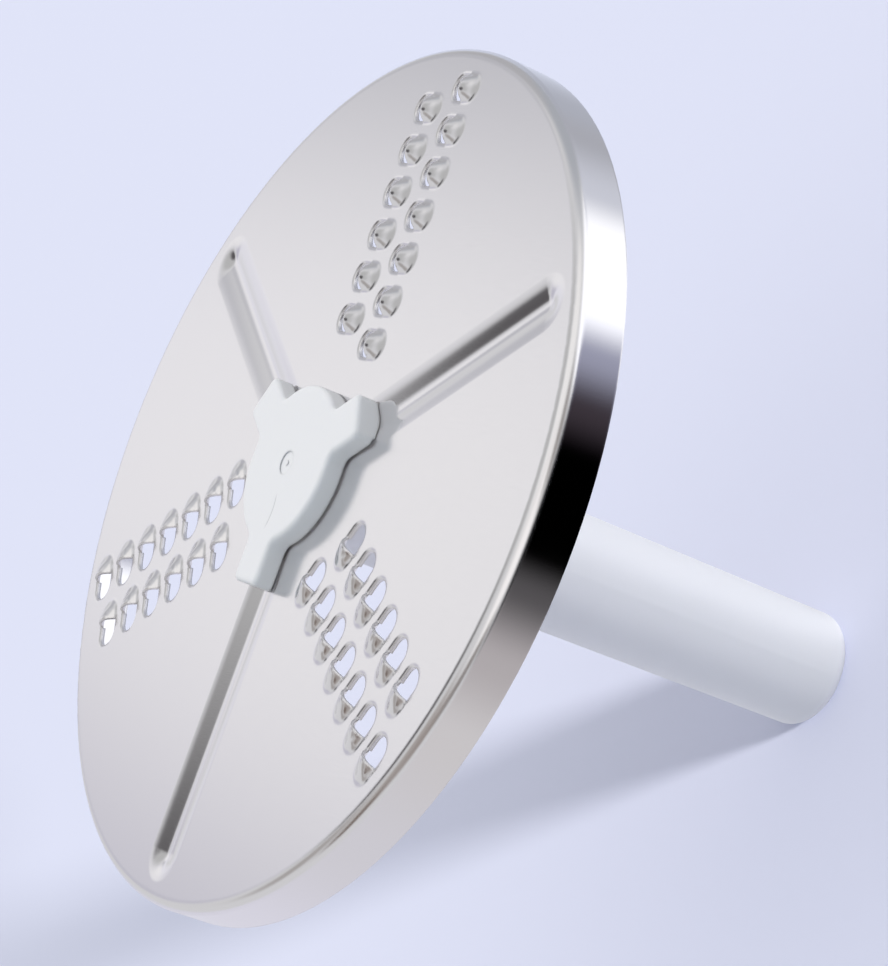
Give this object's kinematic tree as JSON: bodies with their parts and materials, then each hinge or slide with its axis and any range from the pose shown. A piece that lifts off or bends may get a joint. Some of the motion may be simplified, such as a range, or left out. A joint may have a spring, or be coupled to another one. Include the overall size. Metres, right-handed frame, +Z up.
{
  "type": "food processor disc",
  "caption": "Round grating disc of pressed steel with lanced teeth, a down-turned rim and a three-armed plastic hub on a long tapered drive stem that sets it on a food processor's spindle.",
  "frame": {"origin": "centre of the drive stem's foot, on the drive axis", "axes": "+Z up the drive axis from the stem's foot to the hub, +Y along one group of teeth"},
  "size_m": [0.17, 0.17, 0.1272],
  "materials": {
    "steel": "satin face with a polished rim",
    "hub_plastic": "smooth white",
    "stem_plastic": "smooth white"
  },
  "bodies": {
    "root": {"grating_disc": "steel", "hub_cap": "hub_plastic", "drive_stem": "stem_plastic"}
  },
  "joints": []
}
